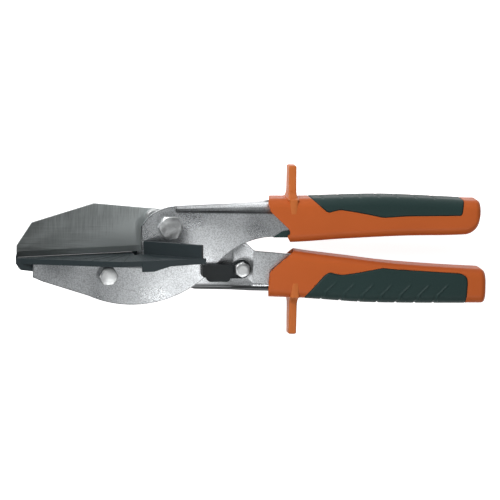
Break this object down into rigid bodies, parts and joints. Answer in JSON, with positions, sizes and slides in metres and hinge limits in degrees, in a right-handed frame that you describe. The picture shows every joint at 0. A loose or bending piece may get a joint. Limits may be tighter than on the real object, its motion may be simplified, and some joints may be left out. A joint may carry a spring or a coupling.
{
  "type": "mitre shears",
  "caption": "Hand shears with a straight blade over a flat anvil, mitre fences at 45 degrees, a thumb latch and two moulded grips with finger guards.",
  "frame": {"origin": "bottom centre of the box of the whole tool, which lies on its side, shut", "axes": "+X from the jaws to the grips, +Y across the tool from the lower grip to the upper, +Z along the pivot bolt, up out of the face that carries its head"},
  "size_m": [0.2824, 0.102, 0.078],
  "materials": {
    "plated_steel": "bright nickel plate over pressed sheet, finely speckled",
    "ground_blade_steel": "ground along its length, mid grey",
    "zinc_fastener": "bright zinc plate",
    "spring_steel": "drawn wire",
    "anvil_nylon": "moulded, fine spark-eroded grain",
    "fence_nylon": "moulded, fine spark-eroded grain",
    "strip_plastic": "tough dark plastic",
    "latch_nylon": "moulded, satin",
    "orange_shell": "moulded, semi-gloss",
    "soft_insert": "soft moulding, matt"
  },
  "bodies": {
    "jaw_side": {"jaw_lever": "plated_steel", "anvil_body": "anvil_nylon", "cutting_strip": "strip_plastic", "near_fence": "fence_nylon", "far_fence": "fence_nylon", "fence_screws": "zinc_fastener", "anvil_bolt": "zinc_fastener", "anvil_nut": "zinc_fastener", "pivot_bolt": "zinc_fastener", "pivot_washer": "zinc_fastener", "pivot_nut": "zinc_fastener", "pivot_spacer": "zinc_fastener", "upper_grip_shell": "orange_shell", "upper_grip_insert": "soft_insert"},
    "blade_side": {"blade_lever": "plated_steel", "blade": "ground_blade_steel", "blade_screw": "zinc_fastener", "blade_nut": "zinc_fastener", "latch_spacers": "zinc_fastener", "latch_screw": "zinc_fastener", "latch_nut": "zinc_fastener", "return_spring": "spring_steel", "lower_grip_shell": "orange_shell", "lower_grip_insert": "soft_insert"},
    "latch": {"latch_lever": "latch_nylon"}
  },
  "joints": [
    {"name": "lever_pivot", "type": "hinge", "parent": "jaw_side", "child": "blade_side", "pos_m": [-0.04981, 0.015, 0.039], "axis": [0, 0, -1], "range_deg": [0, 30]},
    {"name": "latch_pivot", "type": "hinge", "parent": "blade_side", "child": "latch", "pos_m": [-0.00711, -0.0096, 0.04975], "axis": [0, 0, 1], "range_deg": [0, 35]}
  ]
}
